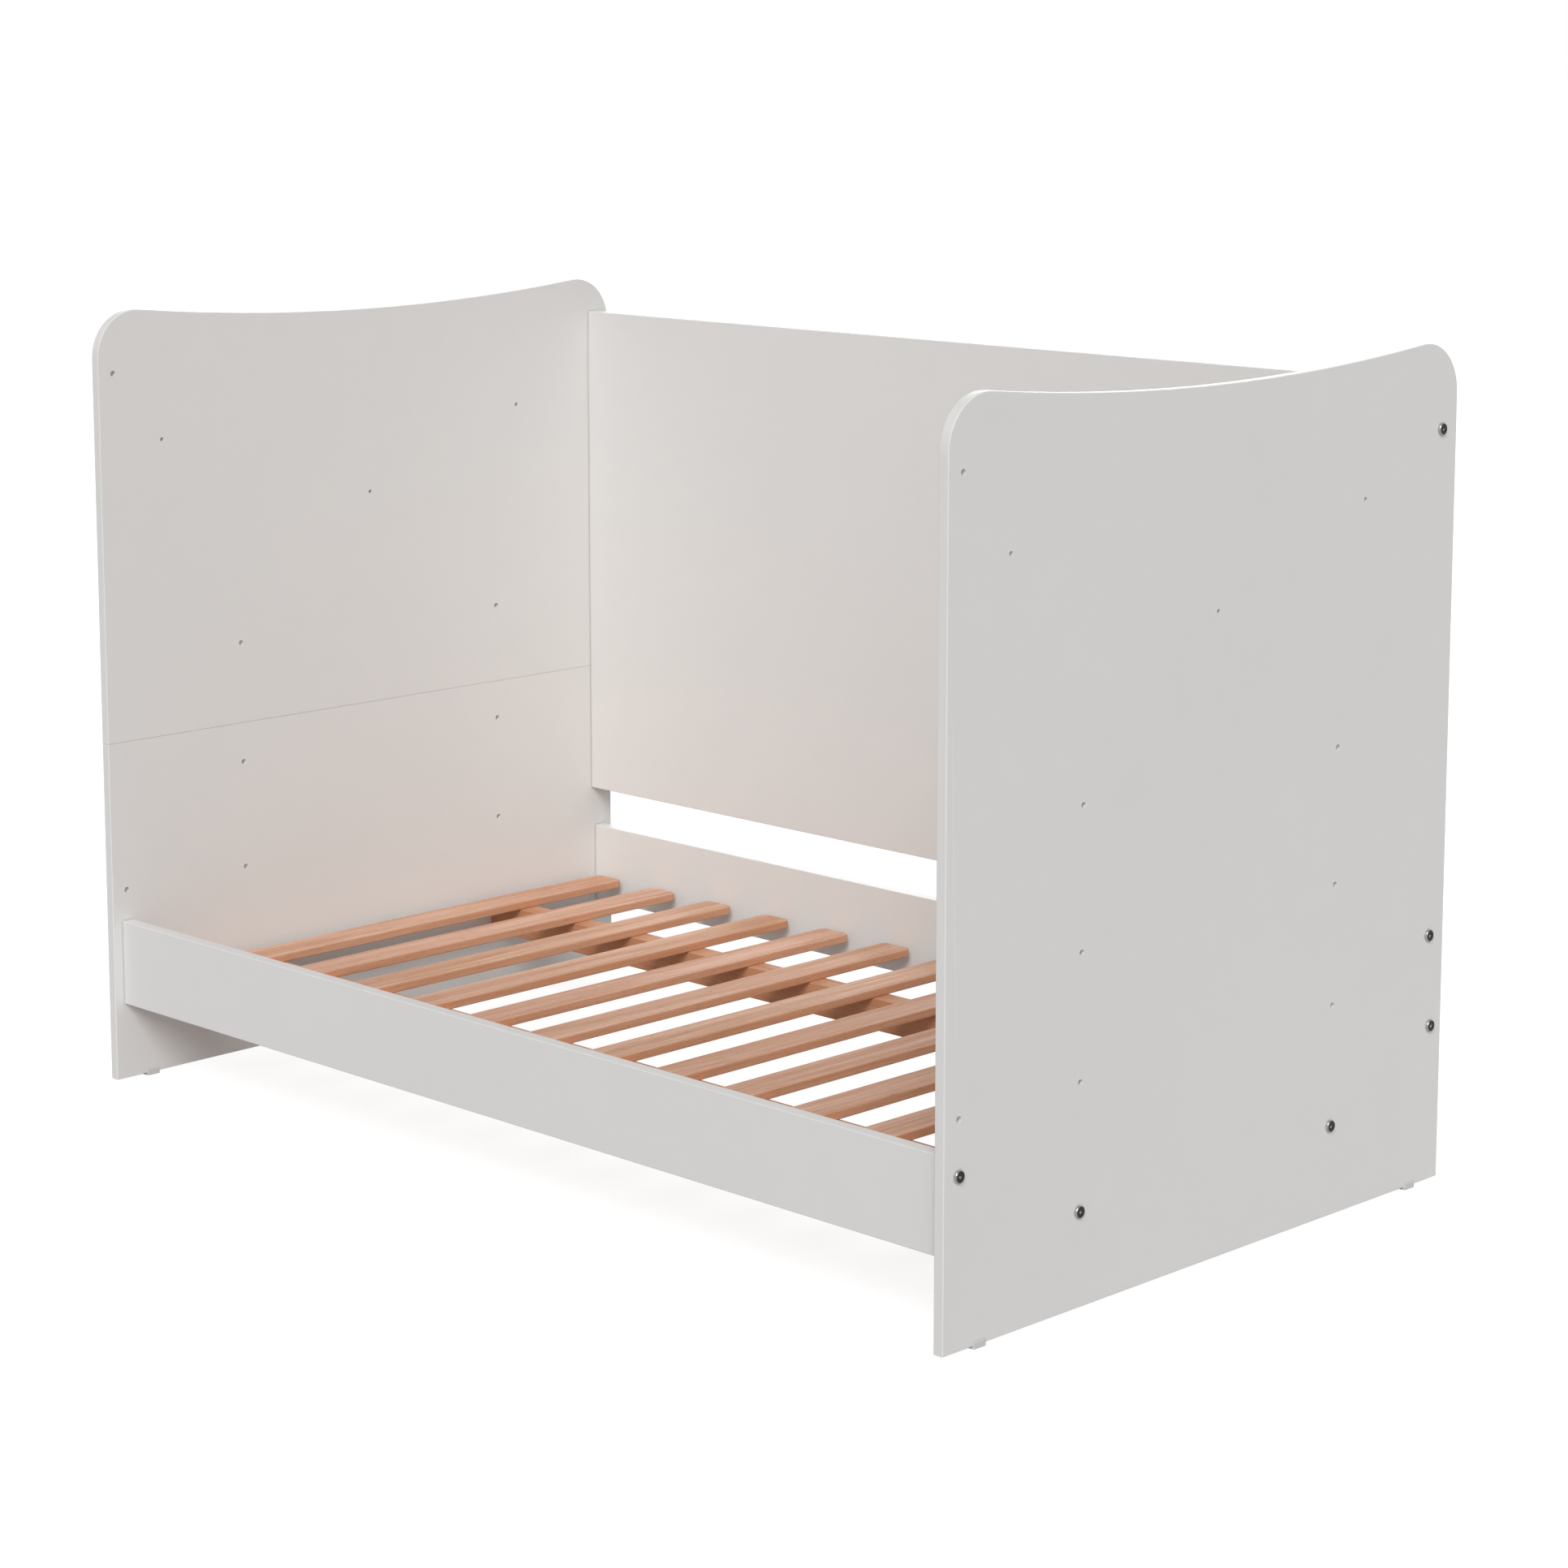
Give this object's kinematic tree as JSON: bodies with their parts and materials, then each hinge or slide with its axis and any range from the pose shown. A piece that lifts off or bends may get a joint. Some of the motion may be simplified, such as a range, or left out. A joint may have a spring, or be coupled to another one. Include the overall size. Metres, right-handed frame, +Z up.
{
  "type": "toddler bed",
  "caption": "Low toddler bed: tall rounded end panels, a back panel, low front and back rails and a slatted wooden base, bolted together.",
  "frame": {"origin": "on the floor, at the middle of the bed's length and depth", "axes": "+X from the head panel to the foot panel, +Y from the front rail to the back panel, +Z up"},
  "size_m": [1.34, 0.793, 0.9117],
  "materials": {
    "painted_board": "fibreboard, satin off-white paint",
    "slat_wood": "sanded reddish hardwood, matt",
    "bearer_wood": "planed reddish hardwood, matt",
    "bolt_metal": "bright nickel plating",
    "nut_metal": "zinc plating",
    "dowel_wood": "plain beech",
    "screw_metal": "zinc plating",
    "glide_plastic": "moulded white plastic"
  },
  "bodies": {
    "root": {"head_panel_upper": "painted_board", "head_panel_lower": "painted_board", "foot_panel": "painted_board", "back_panel": "painted_board", "back_rail": "painted_board", "front_rail": "painted_board", "bearer_front": "bearer_wood", "bearer_back": "bearer_wood", "slat_01": "slat_wood", "slat_02": "slat_wood", "slat_03": "slat_wood", "slat_04": "slat_wood", "slat_05": "slat_wood", "slat_06": "slat_wood", "slat_07": "slat_wood", "slat_08": "slat_wood", "slat_09": "slat_wood", "slat_10": "slat_wood", "slat_11": "slat_wood", "slat_12": "slat_wood", "slat_13": "slat_wood", "front_rail_bolts": "bolt_metal", "back_rail_bolts": "bolt_metal", "back_panel_bolts": "bolt_metal", "base_bolts": "bolt_metal", "front_rail_nuts": "nut_metal", "back_rail_nuts": "nut_metal", "back_panel_nuts": "nut_metal", "base_nuts": "nut_metal", "front_rail_dowels": "dowel_wood", "back_rail_dowels": "dowel_wood", "seam_dowels": "dowel_wood", "slat_screws": "screw_metal", "glide_head_front": "glide_plastic", "glide_head_back": "glide_plastic", "glide_foot_front": "glide_plastic", "glide_foot_back": "glide_plastic"}
  },
  "joints": []
}
